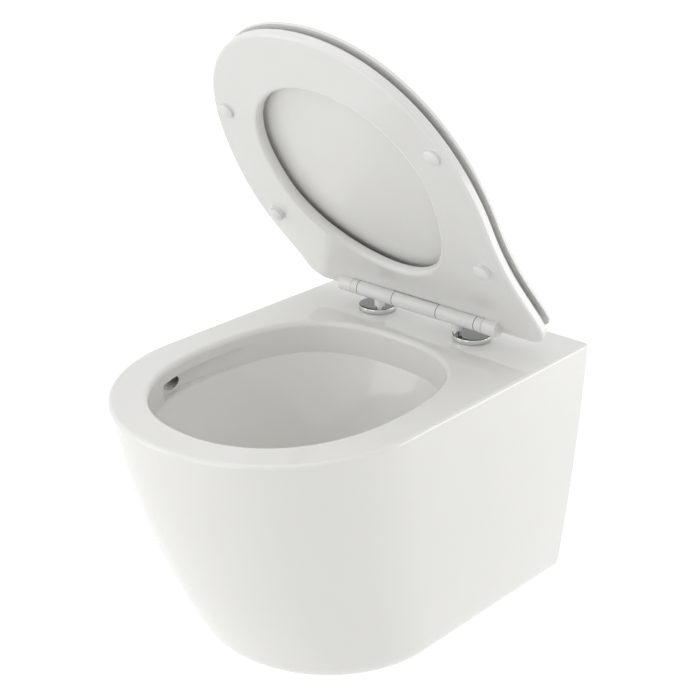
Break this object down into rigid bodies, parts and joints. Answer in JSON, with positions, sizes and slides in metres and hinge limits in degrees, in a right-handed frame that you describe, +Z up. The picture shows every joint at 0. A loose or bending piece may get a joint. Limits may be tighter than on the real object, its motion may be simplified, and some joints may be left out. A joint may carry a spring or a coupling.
{
  "type": "wall hung toilet",
  "caption": "Wall hung rimless toilet pan of glazed ceramic with a slim raised seat and lid on a chrome-footed soft-close hinge.",
  "frame": {"origin": "midway between the two wall fixing holes, on the wall plane", "axes": "+Y into the wall along the fixing holes, +Z up, +X to the right seen from the front; the bowl points to -Y"},
  "size_m": [0.3706, 0.5152, 0.7139],
  "materials": {
    "china": "glossy",
    "seat_plastic": "glossy",
    "lid_plastic": "glossy",
    "hinge_plastic": "glossy",
    "chrome": "polished",
    "gasket_rubber": "matte",
    "buffer_rubber": "satin",
    "bush_rubber": "matte",
    "bolt_steel": "satin",
    "shaft_steel": "satin",
    "nut_plastic": "satin",
    "damper_plastic": "satin",
    "sleeve_plastic": "satin"
  },
  "bodies": {
    "pan": {"pan": "china", "skirt": "china", "bowl": "china", "trapway": "china", "inlet_socket": "china", "fixing_lug_left": "china", "fixing_lug_right": "china", "wall_sleeve_left": "sleeve_plastic", "disc_gasket_left": "gasket_rubber", "hinge_disc_left": "chrome", "hinge_pin_left": "chrome", "seat_bolt_left": "bolt_steel", "bolt_bush_left": "bush_rubber", "bolt_washer_left": "bolt_steel", "bolt_nut_left": "nut_plastic", "hinge_barrel_left": "hinge_plastic", "damper_left": "damper_plastic", "wall_sleeve_right": "sleeve_plastic", "disc_gasket_right": "gasket_rubber", "hinge_disc_right": "chrome", "hinge_pin_right": "chrome", "seat_bolt_right": "bolt_steel", "bolt_bush_right": "bush_rubber", "bolt_washer_right": "bolt_steel", "bolt_nut_right": "nut_plastic", "hinge_barrel_right": "hinge_plastic", "damper_right": "damper_plastic"},
    "seat": {"seat": "seat_plastic", "seat_shaft_left": "shaft_steel", "seat_collar_left": "hinge_plastic", "seat_buffer_front_left": "buffer_rubber", "seat_buffer_rear_left": "buffer_rubber", "seat_shaft_right": "shaft_steel", "seat_collar_right": "hinge_plastic", "seat_buffer_front_right": "buffer_rubber", "seat_buffer_rear_right": "buffer_rubber"},
    "lid": {"lid": "lid_plastic", "lid_knuckle": "hinge_plastic", "lid_shaft_left": "shaft_steel", "lid_buffer_left": "buffer_rubber", "lid_shaft_right": "shaft_steel", "lid_buffer_right": "buffer_rubber"}
  },
  "joints": [
    {"name": "seat_hinge", "type": "hinge", "parent": "pan", "child": "seat", "pos_m": [0, -0.09, 0.107], "axis": [-1, 0, 0], "range_deg": [-60, 33.5]},
    {"name": "lid_hinge", "type": "hinge", "parent": "seat", "child": "lid", "pos_m": [0, -0.09, 0.107], "axis": [-1, 0, 0], "range_deg": [0, 37]}
  ]
}
